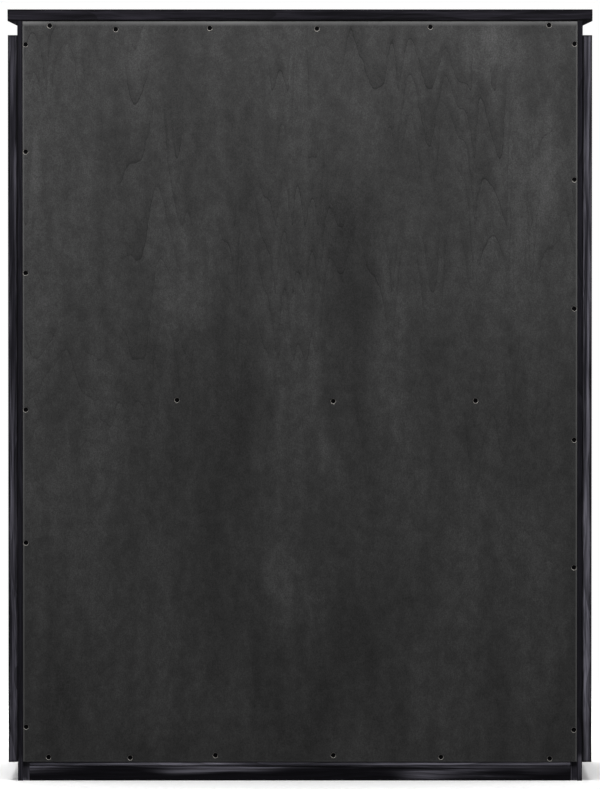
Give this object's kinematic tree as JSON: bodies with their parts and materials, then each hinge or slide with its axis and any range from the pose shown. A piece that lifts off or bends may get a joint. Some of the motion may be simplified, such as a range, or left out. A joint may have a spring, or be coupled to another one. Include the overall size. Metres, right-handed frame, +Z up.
{
  "type": "tall chest of drawers",
  "caption": "Tall black wooden chest with a bevelled overhanging top, overlaid sides, recessed base, a screwed-on stained plywood back and full-width sliding drawers with bar pulls.",
  "frame": {"origin": "on the floor, under the middle of the bounding box, which includes the drawer pulls", "axes": "+Z up, -Y out of the drawer fronts, +Y out of the back panel, +X to the right of somebody facing the drawers"},
  "size_m": [0.965, 0.4862, 1.275],
  "materials": {
    "black_finish": "satin black over hardwood",
    "stained_plywood": "charcoal-stained rotary-cut plywood",
    "drawer_wood": "clear-lacquered",
    "drawer_plywood": "clear-lacquered plywood",
    "aged_brass": "darkened, hand-rubbed"
  },
  "bodies": {
    "carcass": {"top_panel": "black_finish", "bevel_moulding_front": "black_finish", "bevel_moulding_left": "black_finish", "bevel_moulding_right": "black_finish", "side_panel_left": "black_finish", "side_panel_right": "black_finish", "side_overlay_left": "black_finish", "side_overlay_right": "black_finish", "back_panel": "stained_plywood", "top_front_rail": "black_finish", "top_back_rail": "black_finish", "kicker_left": "black_finish", "kicker_right": "black_finish", "divider_1": "black_finish", "divider_2": "black_finish", "divider_3": "black_finish", "divider_4": "black_finish", "divider_5": "black_finish", "bottom_panel": "black_finish", "bottom_back_rail": "black_finish", "base_rail_front": "black_finish", "base_rail_back": "black_finish"},
    "drawer_1": {"drawer_1_front": "black_finish", "drawer_1_side_left": "drawer_wood", "drawer_1_side_right": "drawer_wood", "drawer_1_back": "drawer_wood", "drawer_1_bottom": "drawer_plywood", "drawer_1_pull": "aged_brass"},
    "drawer_2": {"drawer_2_front": "black_finish", "drawer_2_side_left": "drawer_wood", "drawer_2_side_right": "drawer_wood", "drawer_2_back": "drawer_wood", "drawer_2_bottom": "drawer_plywood", "drawer_2_pull": "aged_brass"},
    "drawer_3": {"drawer_3_front": "black_finish", "drawer_3_side_left": "drawer_wood", "drawer_3_side_right": "drawer_wood", "drawer_3_back": "drawer_wood", "drawer_3_bottom": "drawer_plywood", "drawer_3_pull": "aged_brass"},
    "drawer_4": {"drawer_4_front": "black_finish", "drawer_4_side_left": "drawer_wood", "drawer_4_side_right": "drawer_wood", "drawer_4_back": "drawer_wood", "drawer_4_bottom": "drawer_plywood", "drawer_4_pull": "aged_brass"},
    "drawer_5": {"drawer_5_front": "black_finish", "drawer_5_side_left": "drawer_wood", "drawer_5_side_right": "drawer_wood", "drawer_5_back": "drawer_wood", "drawer_5_bottom": "drawer_plywood", "drawer_5_pull": "aged_brass"},
    "drawer_6": {"drawer_6_front": "black_finish", "drawer_6_side_left": "drawer_wood", "drawer_6_side_right": "drawer_wood", "drawer_6_back": "drawer_wood", "drawer_6_bottom": "drawer_plywood", "drawer_6_pull": "aged_brass"}
  },
  "joints": [
    {"name": "drawer_1_slide", "type": "slide", "parent": "carcass", "child": "drawer_1", "axis": [0, -1, 0], "range_m": [0, 0.345]},
    {"name": "drawer_2_slide", "type": "slide", "parent": "carcass", "child": "drawer_2", "axis": [0, -1, 0], "range_m": [0, 0.345]},
    {"name": "drawer_3_slide", "type": "slide", "parent": "carcass", "child": "drawer_3", "axis": [0, -1, 0], "range_m": [0, 0.345]},
    {"name": "drawer_4_slide", "type": "slide", "parent": "carcass", "child": "drawer_4", "axis": [0, -1, 0], "range_m": [0, 0.345]},
    {"name": "drawer_5_slide", "type": "slide", "parent": "carcass", "child": "drawer_5", "axis": [0, -1, 0], "range_m": [0, 0.345]},
    {"name": "drawer_6_slide", "type": "slide", "parent": "carcass", "child": "drawer_6", "axis": [0, -1, 0], "range_m": [0, 0.345]}
  ]
}
